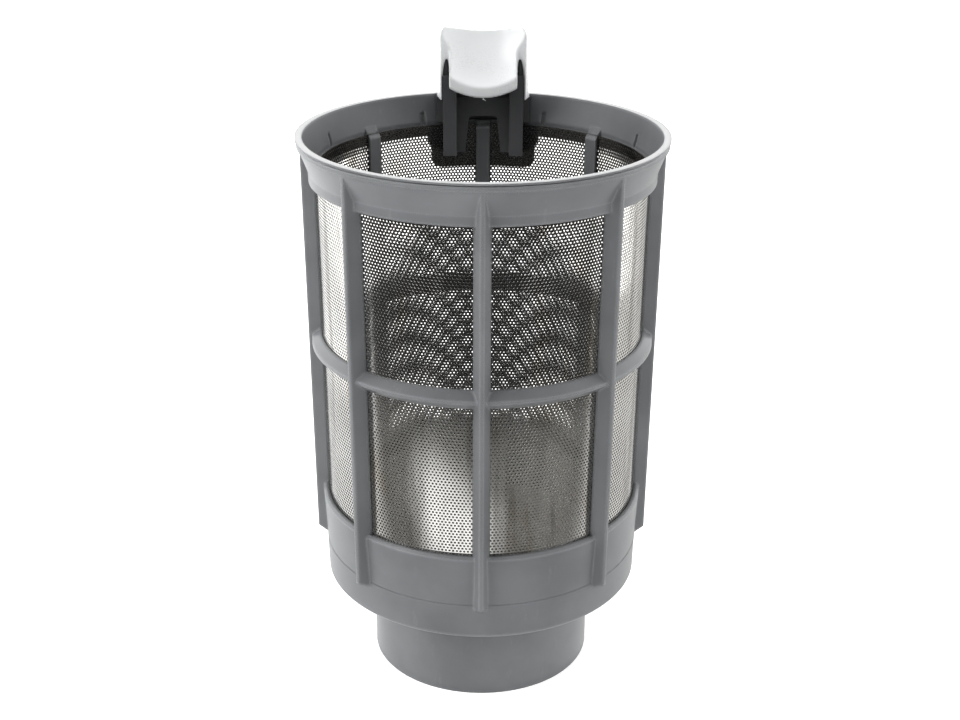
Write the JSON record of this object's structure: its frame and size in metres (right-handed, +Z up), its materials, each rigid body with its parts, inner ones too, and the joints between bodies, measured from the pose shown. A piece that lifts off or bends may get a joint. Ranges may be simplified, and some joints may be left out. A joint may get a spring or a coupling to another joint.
{
  "type": "dishwasher filter",
  "caption": "Cylindrical dishwasher filter: a finned cage round a perforated steel screen, with a plain outlet spigot below and a scooped thumb grip on the rim.",
  "frame": {"origin": "centre of the spigot's open mouth, on the surface that the filter stands on", "axes": "+Z up along the filter's axis from the spigot to the rim, +Y towards the thumb grip at the back, +X to the right seen from the front"},
  "size_m": [0.1, 0.0994, 0.1772],
  "materials": {
    "cage_grey": "fine satin moulding",
    "screen_steel": "bright rolled sheet",
    "bracket_grey": "fine satin moulding",
    "grip_white": "semi-gloss moulding"
  },
  "bodies": {
    "root": {"frame": "cage_grey", "screen": "screen_steel", "handle_bracket": "bracket_grey", "thumb_grip": "grip_white"}
  },
  "joints": []
}
